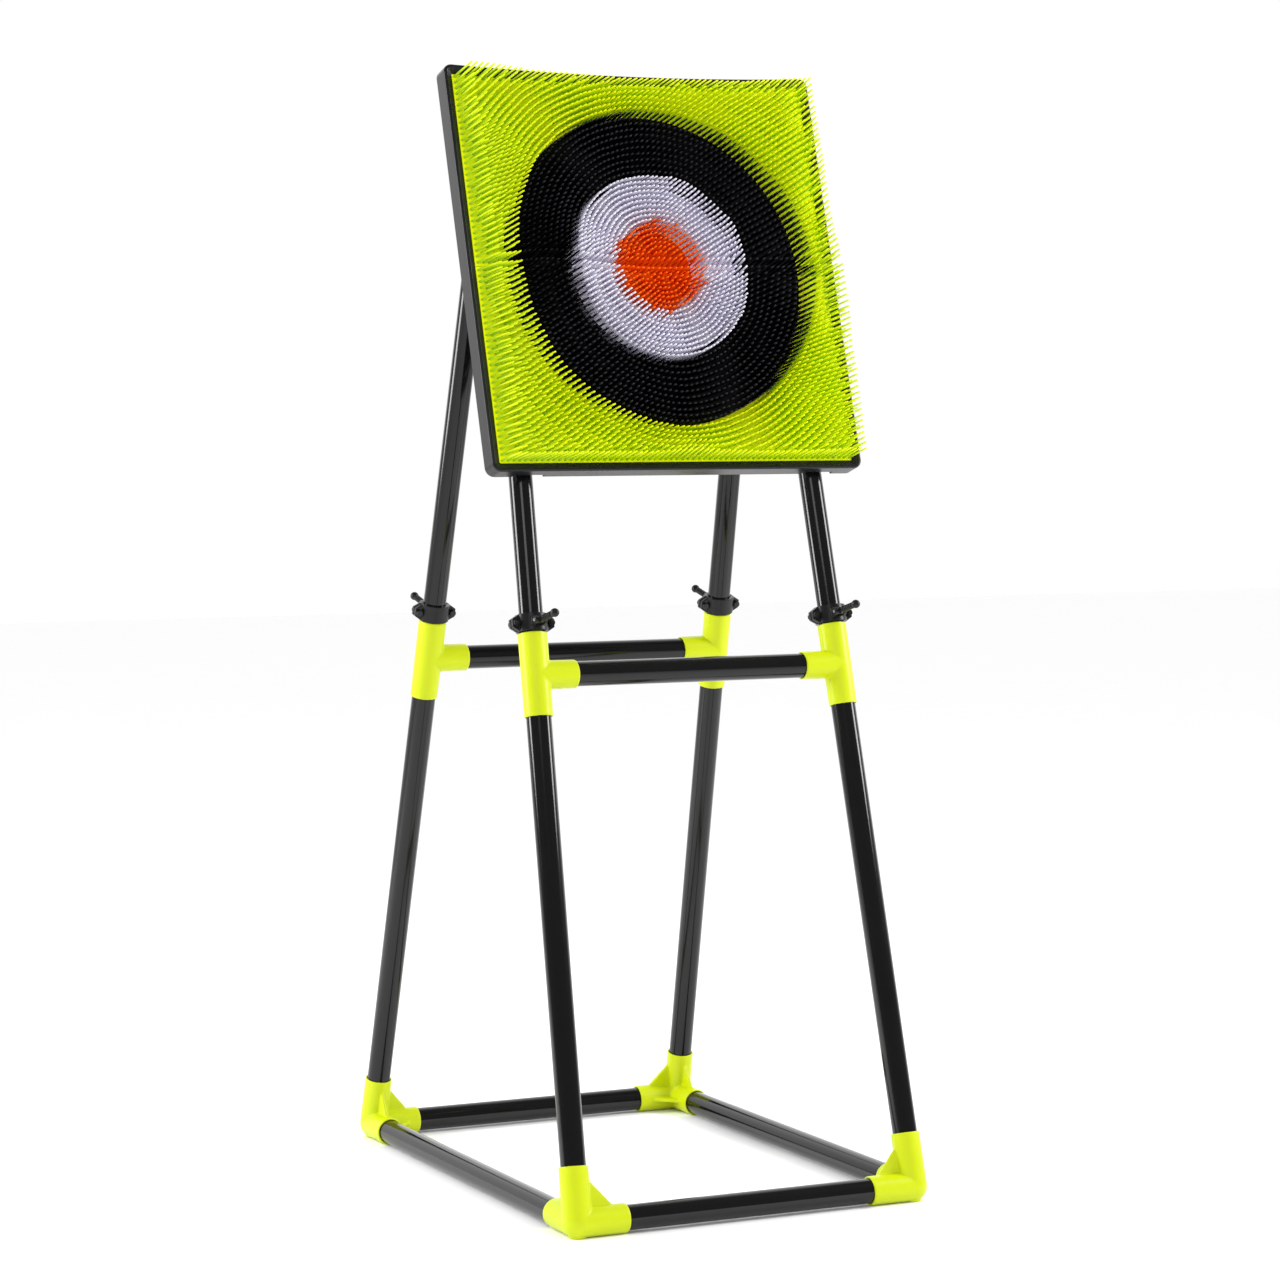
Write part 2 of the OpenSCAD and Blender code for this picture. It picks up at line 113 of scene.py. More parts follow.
def pointing(place, direction):
    """Axes at a place whose Z runs along a direction."""
    turn = Vector(direction).to_track_quat("Z", "Y").to_matrix().to_4x4()
    return Matrix.Translation(place) @ turn


TARGET_PLACE = Matrix.Translation((0, -TRAY_FORWARD, TRAY_MIDDLE)) @ Matrix.Rotation(-TRAY_LEAN, 4, "X")
TARGET_BACK = TARGET_PLACE.to_3x3() @ Vector((0, 1, 0))


def bowed(points):
    """The top edge sags between its corners: height falls by the bow (1 - (x / half width) squared)."""
    rise = np.clip(points[:, 2] / (TRAY_H / 2), 0, 1) ** 2
    sag = TRAY_BOW * (1 - (points[:, 0] / (TRAY_W / 2)) ** 2) * rise
    return points - np.stack([0 * sag, 0 * sag, sag], -1)


def in_tray(place):
    """The place of a point of the whole model in the tray's axes."""
    return TARGET_PLACE.inverted() @ Vector(place)


# ---- Surfaces ----


def placed(points, place):
    """Points carried into place: each is turned by the matrix, then moved."""
    m = np.array(place)
    return points @ m[:3, :3].T + m[:3, 3]


def grid_faces(rows, columns, wrap_rows=False, wrap_columns=True):
    """Quads between neighbouring rows and columns of a grid of points."""
    r = np.arange(rows if wrap_rows else rows - 1)[:, None]
    c = np.arange(columns if wrap_columns else columns - 1)[None, :]
    up, on = (r + 1) % rows, (c + 1) % columns
    quads = np.stack([r * columns + c, r * columns + on, up * columns + on, up * columns + c], -1)
    return quads.reshape(-1, 4)


def turned(profile, place, turns=64, ring=False, shape=None):
    """A surface of revolution: the point is (r cos a, r sin a, z) for each (r, z) of the profile.

    The profile runs from pole to pole, or all the way round when it is a ring's section.
    shape(r, z, a) may reshape the radius and the height.
    """
    rz = np.array(profile, float)
    a = np.linspace(0, 2 * np.pi, turns, endpoint=False)[None, :]
    r, z = np.broadcast_arrays(rz[:, :1], rz[:, 1:2] + 0 * a)
    r, a = r + 0 * a, np.broadcast_to(a, z.shape)
    if shape:
        r, z = shape(r, z, a)
    points = np.stack([r * np.cos(a), r * np.sin(a), z], -1).reshape(-1, 3)
    return placed(points, place), grid_faces(len(rz), turns, wrap_rows=ring).tolist()


def plate(outline, thickness, place):
    """A flat plate: an outline in local X and Z, carried half the thickness to each side along Y."""
    xz = np.array(outline, float)
    n = len(xz)
    sides = np.array([-thickness / 2, thickness / 2])
    points = np.concatenate([np.stack([xz[:, 0], np.full(n, y), xz[:, 1]], -1) for y in sides])
    ring = list(range(n))
    walls = [[i, (i + 1) % n, n + (i + 1) % n, n + i] for i in ring]
    return placed(points, place), [ring[::-1], [n + i for i in ring]] + walls


def joined(shells):
    """Several shells as one list of points and faces."""
    points, faces, count = [], [], 0
    for p, f in shells:
        points.append(p)
        faces += [[i + count for i in face] for face in f]
        count += len(p)
    return np.concatenate(points), faces


def rounded(corner_r, corner_z, radius, steps, start):
    """A quarter arc of (r, z) pairs about a centre, from an angle in degrees, turning by 90."""
    a = np.radians(start) + np.linspace(0, np.pi / 2, steps + 1)
    return [(corner_r + radius * np.cos(t), corner_z + radius * np.sin(t)) for t in a]


def pipe_section(outer, inner, low, high, edge=0.0004):
    """The section of a tube with rounded ends, once round, with a loop just inside each end."""
    loop = [(outer, low + 3 * edge), (outer, high - 3 * edge)]
    loop += rounded(outer - edge, high - edge, edge, 3, 0)
    loop += rounded(inner + edge, high - edge, edge, 3, 90)
    loop += [(inner, high - 3 * edge), (inner, low + 3 * edge)]
    loop += rounded(inner + edge, low + edge, edge, 3, 180)
    loop += rounded(outer - edge, low + edge, edge, 3, 270)
    return loop


def weld(mesh, distance, recalculate=False):
    """Merges vertices closer than a distance, and may turn every face outwards."""
    work = bmesh.new()
    work.from_mesh(mesh)
    bmesh.ops.remove_doubles(work, verts=work.verts, dist=distance)
    if recalculate:
        bmesh.ops.recalc_face_normals(work, faces=work.faces)
    work.to_mesh(mesh)
    work.free()


def add_piece(name, shells, body, slot, nodes, sharp=40, recalculate=True):
    """Puts welded shells into one mesh at the origin."""
    points, faces = joined(shells)
    mesh = bpy.data.meshes.new(name)
    mesh.from_pydata(points.tolist(), [], faces)
    weld(mesh, 1e-6, recalculate)
    return place_mesh(name, mesh, body, slot, nodes, sharp)


def place_mesh(name, mesh, body, slot, nodes, sharp):
    """Gives a mesh its slot's finish, ties it to its body and hides its CAD nodes."""
    mesh.shade_smooth()
    mesh.set_sharp_from_angle(angle=math.radians(sharp))
    mesh.materials.clear()
    mesh.materials.append(look(slot))
    piece = bpy.data.objects.new(name, mesh)
    bpy.context.scene.collection.objects.link(piece)
    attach(piece, body)
    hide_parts(*nodes)
    return piece


def moulded_over(piece, grain, steps):
    """Fuses a piece's shells into one skin, then relaxes it so that inner corners blend and edges round."""
    skin = piece.modifiers.new("skin", "REMESH")
    skin.mode, skin.voxel_size, skin.use_smooth_shade = "VOXEL", grain, True
    relax = piece.modifiers.new("relax", "SMOOTH")
    relax.factor, relax.iterations = 0.5, steps


def welded_copy(node, name, body, slot):
    """A copy of a CAD node's mesh with its loose triangles welded."""
    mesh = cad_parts[node].data.copy()
    weld(mesh, 2e-6)
    return place_mesh(name, mesh, body, slot, [node], 30)


# ---- Finishes ----


def new_node(tree, kind, **constants):
    """A shader node of a kind, with constants on the sockets of those names."""
    node = tree.nodes.new(f"ShaderNode{kind}")
    for name, value in constants.items():
        node.inputs[name.replace("_", " ")].default_value = value
    return node


def link(source, output, target, socket_name):
    """Joins a node's output to another node's input."""
    source.id_data.links.new(source.outputs[output], target.inputs[socket_name])


def finish(name, colour, roughness, metallic=0.0, grain=0.0, grain_scale=900.0, drift=0.05,
           shade=0.06, stretch=(1, 1, 1), specular=0.5):
    """A procedural finish in object coordinates.

    A broad cloud shifts the shade and the roughness a little, and a fine grain, stretched along an axis
    where the surface was drawn or brushed, stands up as relief.
    """
    made = bpy.data.materials.new(name)
    made.use_nodes = True
    tree = made.node_tree
    skin = tree.nodes["Principled BSDF"]
    skin.inputs["Metallic"].default_value = metallic
    skin.inputs["Specular IOR Level"].default_value = specular
    where = new_node(tree, "TexCoord")
    cloud = new_node(tree, "TexNoise", Scale=14.0, Detail=4.0)
    link(where, "Object", cloud, "Vector")
    tint = new_node(tree, "ValToRGB")
    tint.color_ramp.elements[0].position, tint.color_ramp.elements[1].position = 0.3, 0.7
    for element, lift in zip(tint.color_ramp.elements, (1 - shade, 1 + shade)):
        element.color = (*[min(c * lift, 1) for c in colour], 1)
    link(cloud, "Fac", tint, "Fac")
    link(tint, "Color", skin, "Base Color")
    spread = new_node(tree, "MapRange", To_Min=max(roughness - drift, 0.02), To_Max=roughness + drift)
    link(cloud, "Fac", spread, "Value")
    link(spread, "Result", skin, "Roughness")
    if grain:
        stretcher = new_node(tree, "Mapping", Scale=stretch)
        link(where, "Object", stretcher, "Vector")
        speck = new_node(tree, "TexNoise", Scale=grain_scale, Detail=3.0)
        link(stretcher, "Vector", speck, "Vector")
        relief = new_node(tree, "Bump", Strength=grain, Distance=0.0002)
        link(speck, "Fac", relief, "Height")
        link(relief, "Normal", skin, "Normal")
    return made


def paint_bristle_shade_and_highlight(made, root, tip, end):
    """Paints light into a bristle's colour by its height above the board: painted shade makes the root dull,
    the colour brightens near the tip, and the tip takes its own colour, a painted highlight where it is
    lighter.
    """
    tree = made.node_tree
    place = next(n for n in tree.nodes if n.bl_idname == "ShaderNodeTexCoord")
    cloud = next(n for n in tree.nodes if n.bl_idname == "ShaderNodeValToRGB")
    height = new_node(tree, "VectorMath")
    height.operation = "DOT_PRODUCT"
    height.inputs[1].default_value = -TARGET_BACK
    link(place, "Object", height, 0)
    foot = (TARGET_PLACE @ Vector((0, BOARD_DEPTH, 0))).dot(-TARGET_BACK)
    span = new_node(tree, "MapRange", From_Min=foot, From_Max=foot + BRISTLE_LENGTH)
    link(height, "Value", span, "Value")
    # Painted shade at the root rises to the bristle's colour below the tip; a lighter tip is a painted
    # highlight.
    ramp = new_node(tree, "ValToRGB")
    ramp.color_ramp.elements[0].position, ramp.color_ramp.elements[1].position = 0.05, 0.8
    ramp.color_ramp.elements[0].color, ramp.color_ramp.elements[1].color = (*root, 1), (*tip, 1)
    ramp.color_ramp.elements.new(0.965).color = (*end, 1)
    link(span, "Result", ramp, "Fac")
    for element, level in zip(cloud.color_ramp.elements, (0.92, 1.0)):
        element.color = (level, level, level, 1)
    mixed = new_node(tree, "Mix")
    mixed.data_type, mixed.blend_type = "RGBA", "MULTIPLY"
    mixed.inputs["Factor"].default_value = 1.0
    colours = [s for s in mixed.inputs if s.type == "RGBA"]
    tree.links.new(ramp.outputs["Color"], colours[0])
    tree.links.new(cloud.outputs["Color"], colours[1])
    result = next(s for s in mixed.outputs if s.type == "RGBA")
    tree.links.new(result, tree.nodes["Principled BSDF"].inputs["Base Color"])
    return made


def bristle_finish(name, colour, roughness, specular, *shade_and_highlight_levels):
    """A bristle's finish with painted light: its scales of red, green and blue are for its root, below its tip
    and its tip; below one they paint shade, above one a highlight.
    """
    made = finish(name, colour, roughness, grain=0.05, specular=specular)
    return paint_bristle_shade_and_highlight(made, *[tuple(c * level for c, level in zip(colour, rgb)) for rgb in shade_and_highlight_levels])


FINISHES = {}


def look(slot):
    """The slot's finish, made the first time that it is asked for."""
    if slot not in FINISHES:
        c = bpy.context.scene.target_colours
        makers = {
            "lime_plastic": lambda: finish(
                "lime_moulded", c.lime, 0.34, grain=0.12, grain_scale=700, shade=0.025, specular=0.3),
            "black_tube": lambda: finish(
                "gloss_black_coat", c.tube, 0.12, grain=0.05, grain_scale=260, stretch=(1, 1, 0.15),
                drift=0.04, specular=0.38),
            "black_plastic": lambda: finish(
                "black_moulded", c.black, 0.3, grain=0.2, grain_scale=1500, specular=0.28),
            "black_steel": lambda: finish("black_oxide", (0.03, 0.03, 0.032), 0.35, metallic=0.8, grain=0.2),
            "bright_steel": lambda: finish(
                "bright_zinc", (0.62, 0.63, 0.65), 0.3, metallic=1.0, grain=0.25, stretch=(0.1, 1, 1)),
            "tray_plastic": lambda: finish(
                "tray_moulded", c.black, 0.3, grain=0.25, grain_scale=1100, specular=0.27),
            "board_plastic": lambda: finish(
                "board_moulded", c.bristle_lime, 0.5, grain=0.4, grain_scale=600, specular=0.08),
            # Per bristle colour, the scales for the root, below the tip and the tip: the root gets painted
            # shade, and a scale above one is a painted highlight on the tip.
            "bristle_lime": lambda: bristle_finish(
                "soft_lime", c.bristle_lime, 0.4, 0.25, (0.42, 0.70, 1), (0.88, 0.94, 1), (1, 1, 1)),
            "bristle_black": lambda: bristle_finish(
                "soft_black", c.black, 0.35, 0.04, (0.1, 0.1, 0.1), (0.15, 0.15, 0.15), (5, 5, 5.2)),
            "bristle_white": lambda: bristle_finish(
                "soft_white", c.bristle_white, 0.4, 0.3, (0.74, 0.72, 0.82), (0.97, 0.97, 1), (1, 1, 1)),
            "bristle_orange": lambda: bristle_finish(
                "soft_orange", c.bristle_orange, 0.38, 0.3, (0.8, 0.5, 1), (1, 1, 1), (1, 1.4, 1)),
        }
        FINISHES[slot] = makers[slot]()
    return FINISHES[slot]


# ---- What a user may change ----


def length(name, description, default, low, high):
    return bpy.props.FloatProperty(
        name=name, description=description, default=default, min=low, max=high, unit="LENGTH")


def colour(name, description, default):
    return bpy.props.FloatVectorProperty(
        name=name, description=description, default=default, subtype="COLOR", min=0, max=1)


class TargetSizes(bpy.types.PropertyGroup):
    """Sizes of the soft and moulded detail."""

    bristle_length: length("Bristle length", "Length of a bristle from board to tip", BRISTLE_LENGTH,
                           0.02, 0.04)
    bristle_pitch: length("Bristle pitch", "Distance between neighbouring bristles", 0.00745, 0.005, 0.01)
    bristle_root: length("Bristle root", "Radius of a bristle where it leaves the board", 0.0015, 0.0005, 0.002)
    bristle_tip: length("Bristle tip", "Radius of a bristle just below its rounded tip", 0.0012, 0.0004, 0.002)
    skin_grain: length("Connector skin", "Size of the facets of the fused connectors", 0.00095, 0.0008, 0.003)


class TargetColours(bpy.types.PropertyGroup):
    """Colours of the finishes."""

    lime: colour("Connectors", "Colour of the moulded connectors", (0.53, 0.62, 0.001))
    tube: colour("Tubes", "Colour of the coated tubes", (0.004, 0.004, 0.0045))
    black: colour("Black plastic", "Colour of the tray, clamps and brackets", (0.008, 0.008, 0.009))
    bristle_lime: colour("Lime bristles", "Colour of the outer bristles", (0.86, 0.93, 0.001))
    bristle_white: colour("White bristles", "Colour of the white ring's bristles", (0.90, 0.88, 0.96))
    bristle_orange: colour("Orange bristles", "Colour of the bull's eye's bristles", (1.0, 0.125, 0.002))


# ---- Stand ----


def socket(reach, stop, place, root=0.0177, mouth=0.0174):
    """A blind socket: a tapered sleeve with a rounded mouth, bored down to its stop."""
    edge, lead_in = 0.001, 0.0004
    profile = [(0, 0), (root, 0), (root, 0.008), (mouth, reach - edge), (mouth - 0.0003, reach - 0.0003),
               (mouth - edge, reach), (SOCKET_BORE + lead_in, reach), (SOCKET_BORE, reach - lead_in),
               (SOCKET_BORE, stop), (0, stop)]
    return turned(profile, place, 72)


def corner_shells(side, end):
    """Three sockets about a ball, three webs between them and a low foot."""
    leg, middle = along_leg(side, end), on_leg(side, end, 0)
    web_near, web_far, web_thick = 0.016, 0.046, 0.0045
    inward = {"x": Vector((-side, 0, 0)), "y": Vector((0, -end, 0))}
    shells = [socket(0.065, LEG_STOP, leg)]
    shells += [socket(0.061, SOCKET_STOP, pointing(middle, d)) for d in inward.values()]
    shells.append(turned(ball_profile(0.0174), pointing(middle, (0, 0, 1)), 48))
    sole, foot_r = -BASE_HEIGHT, 0.0105
    foot = [(0, sole), (foot_r - 0.0007, sole), (foot_r, sole + 0.0008), (0.0115, 0), (0, 0)]
    shells.append(turned(foot, pointing(middle, (0, 0, 1)), 48))
    up = (leg @ Vector((0, 0, 1)) - leg @ Vector((0, 0, 0))).normalized()
    for d in inward.values():
        web = Matrix((d, up.cross(d), up)).transposed().to_4x4()
        outline = [(web_near, web_near), (web_far, web_near), (0.0445, 0.0175), (0.0165, 0.0485),
                   (web_near, 0.049)]
        shells.append(plate(outline, web_thick, Matrix.Translation(middle) @ web))
    flat = Matrix((inward["x"], inward["x"].cross(inward["y"]), inward["y"])).transposed().to_4x4()
    outline = [(web_near, web_near), (web_far, web_near), (web_near, web_far)]
    shells.append(plate(outline, web_thick, Matrix.Translation(middle) @ flat))
    return shells


def ball_profile(radius, steps=18):
    """Half a circle from pole to pole."""
    a = np.linspace(-np.pi / 2, np.pi / 2, steps)
    return [(abs(radius * np.cos(t)) if 0 < i < steps - 1 else 0, radius * np.sin(t)) for i, t in enumerate(a)]


class TARGET_OT_corners(bpy.types.Operator):
    """Moulds the four corner connectors of the base"""

    bl_idname = "target.corners"
    bl_label = "Corner Connectors"

    def execute(self, context):
        for name, side, end in CORNERS:
            piece = add_piece(f"corner_moulding_{name}", corner_shells(side, end), "stand", "lime_plastic",
                              [f"corner_{name}"])
            moulded_over(piece, context.scene.target_sizes.skin_grain, 3)
        return {"FINISHED"}


def tee_shells(side, end):
    """A tapered sleeve along the leg, and a socket whose root follows the sleeve as a saddle."""
    low, high = TEE_AT - TEE_RUN / 2, TEE_AT + TEE_RUN / 2
    thin, thick, edge = 0.0171, 0.0177, 0.0008
    run = [(thin, low + edge), (thick, high - edge), (thick - 0.0003, high - 0.0003), (thick - edge, high),
           (SOCKET_BORE + 0.0004, high), (SOCKET_BORE, high - 0.0004), (SOCKET_BORE, low + 0.0004),
           (SOCKET_BORE + 0.0004, low), (thin - edge, low), (thin - 0.0002, low + 0.0003)]
    reach = 0.051
    saddle, saddle_r = [(0, 0), (0.006, 0), (0.012, 0), (0.0158, 0), (0.0176, 0)], 0.0163
    sleeve = [(0.0174, 0.0165), (0.0173, 0.021), (0.0171, reach - 0.001), (0.0168, reach - 0.0003),
              (0.0162, reach), (SOCKET_BORE + 0.0004, reach), (SOCKET_BORE, reach - 0.0004),
              (SOCKET_BORE, SOCKET_STOP), (0, SOCKET_STOP)]

    def seat(r, z, a):
        rows = np.arange(len(r))[:, None] < len(saddle)
        return r, np.where(rows, np.sqrt(np.maximum(saddle_r**2 - (r * np.sin(a)) ** 2, 0)), z)

    d, up = Vector((-side, 0, 0)), Vector((0, 0, 1))
    axes = Matrix((up, d.cross(up), d)).transposed().to_4x4()
    branch = Matrix.Translation(on_leg(side, end, TEE_AT)) @ axes
    return [turned(run, along_leg(side, end), 72, ring=True), turned(saddle + sleeve, branch, 72, shape=seat)]


class TARGET_OT_tees(bpy.types.Operator):
    """Moulds the four tees that hold the cross bars"""

    bl_idname = "target.tees"
    bl_label = "Tees"

    def execute(self, context):
        for name, side, end in CORNERS:
            piece = add_piece(f"tee_moulding_{name}", tee_shells(side, end), "stand", "lime_plastic",
                              [f"tee_{name}"])
            moulded_over(piece, context.scene.target_sizes.skin_grain, 3)
        return {"FINISHED"}


class TARGET_OT_tubes(bpy.types.Operator):
    """Draws the coated tubes of the stand and the sliding upper tubes"""

    bl_idname = "target.tubes"
    bl_label = "Tubes"

    def execute(self, context):
        inset = SOCKET_STOP + FIT_GAP

        def add(node, place, outer, low, high, body="stand"):
            section = pipe_section(outer, outer - TUBE_WALL, low, high)
            add_piece(f"{node}_coated", [turned(section, place, 96, ring=True)], body, "black_tube", [node])

        for name, end in ENDS.items():
            reach = HALF_WIDTH - inset
            place = pointing((0, end * HALF_DEPTH, BASE_HEIGHT), (1, 0, 0))
            add(f"base_tube_{name}", place, TUBE_R, -reach, reach)
            tee = on_leg(RIGHT, end, TEE_AT)
            place = pointing((0, tee.y, tee.z), (1, 0, 0))
            add(f"crossbar_{name}", place, TUBE_R, inset - tee.x, tee.x - inset)
        for name, side in SIDES.items():
            reach = HALF_DEPTH - inset
            place = pointing((side * HALF_WIDTH, 0, BASE_HEIGHT), (0, 1, 0))
            add(f"base_tube_{name}", place, TUBE_R, -reach, reach)
        for name, side, end in CORNERS:
            leg = along_leg(side, end)
            add(f"leg_tube_{name}", leg, TUBE_R, LEG_STOP + FIT_GAP, CLAMP_START + CLAMP_HEIGHT)
            add(f"upper_tube_{name}", leg, SLIDER_R, SLIDER_START[end], PIVOT_AT[end] - EYE_NECK,
                f"tube_{name}")
        return {"FINISHED"}


# ---- Clamps ----


def hexagon(round_off):
    """The radius of a hexagon at each angle, cut back to a cone towards its ends: the lesser of the two."""

    def shape(r, z, a):
        side = NUT_ACROSS / 2 / np.cos((a + np.pi / 6) % (np.pi / 3) - np.pi / 6)
        return np.where(r > round_off, np.minimum(side, r), r), z

    return shape


def hex_head(place):
    flat, height = NUT_ACROSS / 2, NUT_HEIGHT
    corner = flat / math.cos(math.pi / 6)
    profile = [(0, 0), (flat * 0.9, 0), (flat, 0.0001), (corner, height * 0.16), (corner, height * 0.84),
               (flat, height - 0.0001), (flat * 0.9, height), (0, height)]
    return turned(profile, place, 48, shape=hexagon(flat * 0.95))


def hex_nut(bore, place):
    flat, height, lead_in = NUT_ACROSS / 2, NUT_HEIGHT, 0.0003
    corner = flat / math.cos(math.pi / 6)
    section = [(bore, lead_in), (bore + lead_in, 0), (flat, 0.0001), (corner, height * 0.18),
               (corner, height * 0.82), (flat, height - 0.0001), (bore + lead_in, height),
               (bore, height - lead_in)]
    return turned(section, place, 48, ring=True, shape=hexagon(flat * 0.98))


def threaded(radius, low, high, place, pitch=0.0008):
    """A screw: the radius rises and falls as a triangle wave of height along the turn, z / pitch - a / 2 pi."""
    depth, plain_end = 0.00035, 0.0006
    z = np.arange(low, high - plain_end, pitch / 6)
    profile = [(0, low)] + [(radius, h) for h in z] + [(radius * 0.8, high), (0, high)]

    def shape(r, zz, a):
        wave = np.abs(((zz / pitch - a / (2 * np.pi)) % 1) * 2 - 1)
        return np.where((r > radius * 0.95) & (zz > low), r - wave * depth, r), zz

    return turned(profile, place, 24, shape=shape)


def taper_ears(piece, clamps):
    """Narrows the ears: the height shrinks by half as the reach goes from the collar to the ear's end."""
    ear_start, ear_run, near_clamp = 0.0195, 0.0075, 0.05
    points = np.empty(len(piece.data.vertices) * 3)
    piece.data.vertices.foreach_get("co", points)
    points = points.reshape(-1, 3)
    for clamp in clamps:
        local = placed(points, clamp.inverted())
        near = np.abs(local).max(1) < near_clamp
        shrink = 1 - 0.5 * np.clip((np.abs(local[:, 0]) - ear_start) / ear_run, 0, 1)
        tapered = placed(local * np.stack([0 * shrink + 1, 0 * shrink + 1, shrink], -1), clamp)
        points = np.where(near[:, None], tapered, points)
    piece.data.vertices.foreach_set("co", points.ravel())
    piece.data.update()


class TARGET_OT_clamps(bpy.types.Operator):
    """Moulds the clamp halves above the tees"""

    bl_idname = "target.clamps"
    bl_label = "Clamps"

    def execute(self, context):
        for name, side, end in CORNERS:
            piece = welded_copy(f"clamp_shell_{name}", f"clamp_moulding_{name}", "stand", "black_plastic")
            taper_ears(piece, [at_clamp(side, end)])
            moulded_over(piece, 0.0005, 1)
        piece = welded_copy("clamp_backs", "clamp_back_mouldings", "stand", "black_plastic")
        taper_ears(piece, [at_clamp(side, end) for _, side, end in CORNERS])
        moulded_over(piece, 0.0006, 1)
        return {"FINISHED"}


class TARGET_OT_clamp_screws(bpy.types.Operator):
    """Cuts the clamps' bolts, nuts and lever pins"""

    bl_idname = "target.clamp_screws"
    bl_label = "Clamp Screws"

    def execute(self, context):
        bolts, nuts, pins = [], [], []
        for _, side, end in CORNERS:
            clamp = at_clamp(side, end)
            for x in (LEFT, RIGHT):
                out = clamp @ Matrix.Translation((x * BOLT_OFFSET, 0, 0)) @ Matrix.Rotation(math.pi / 2, 4, "X")
                shank = [(0, -0.006), (BOLT_R, -0.006), (BOLT_R, 0.006), (0, 0.006)]
                bolts += [turned(shank, out, 24), threaded(BOLT_R, 0.006, 0.011, out),
                          hex_head(out @ Matrix.Translation((0, 0, -0.01)))]
                nuts.append(hex_nut(0.00251, out @ Matrix.Translation((0, 0, 0.006))))
            across = clamp @ Matrix.Translation((0, -LEVER_PIN, 0)) @ Matrix.Rotation(math.pi / 2, 4, "Y")
            pin_r, half = 0.00199, 0.0085
            pins.append(turned([(0, -half), (0.0016, -half), (pin_r, -0.0081), (pin_r, 0.0081),
                                (0.0016, half), (0, half)], across, 32))
        add_piece("clamp_bolts_cut", bolts, "stand", "black_steel", ["clamp_bolts"], 35)
        add_piece("clamp_nuts_cut", nuts, "stand", "black_steel", ["clamp_nuts"], 35)
        add_piece("lever_pins_cut", pins, "stand", "bright_steel", ["lever_pins"], 35)
        return {"FINISHED"}


def lever_shells(side, end):
    """A ribbed rod with a ball end, a hub across its root and a flat rib that joins them."""
    pin = at_clamp(side, end) @ Matrix.Translation((0, -LEVER_PIN, 0))
    out = pin @ Matrix.Rotation(math.pi / 2, 4, "X")
    rod, rib, ball, reach = 0.0026, 0.004, 0.0053, 0.043
    ribs_low, ribs_high, first_rib, rib_pitch = 0.0107, 0.0359, 0.0128, 0.0042
    z = np.linspace(rod, reach - ball * 0.85, 150)
    swell = np.clip(np.cos((z - first_rib) / rib_pitch * 2 * np.pi) * 2.2, -1, 1) * 0.5 + 0.5
    r = rod + (rib - rod) * swell * ((z > ribs_low) & (z < ribs_high))
    tip = [(ball * math.cos(t), reach + ball * math.sin(t)) for t in np.linspace(-1.0, 1.45, 16)]
    profile = [(0, rod)] + list(zip(r, z)) + tip + [(0, reach + ball)]

    def grip(r, z, a):
        ribbed = (r > 0.003) & (z > ribs_low) & (z < ribs_high)
        return np.where(ribbed, r * (1 + 0.025 * np.cos(14 * a)), r), z

    hub = pipe_section(0.004, 0.00208, -0.0041, 0.0041)
    web = plate([(-0.002, 0.004), (-0.014, 0.002), (-0.014, -0.002), (-0.002, -0.004)], 0.003,
                pin @ Matrix.Rotation(math.pi / 2, 4, "Z"))
    return [turned(profile, out, 42, shape=grip), web,
            turned(hub, pin @ Matrix.Rotation(math.pi / 2, 4, "Y"), 40, ring=True)]


class TARGET_OT_levers(bpy.types.Operator):
    """Turns the clamps' ribbed levers"""

    bl_idname = "target.levers"
    bl_label = "Clamp Levers"

    def execute(self, context):
        for name, side, end in CORNERS:
            add_piece(f"lever_grip_{name}", lever_shells(side, end), f"lever_{name}", "black_plastic",
                      [f"clamp_lever_{name}"], 50)
        return {"FINISHED"}


# ---- Pivots ----


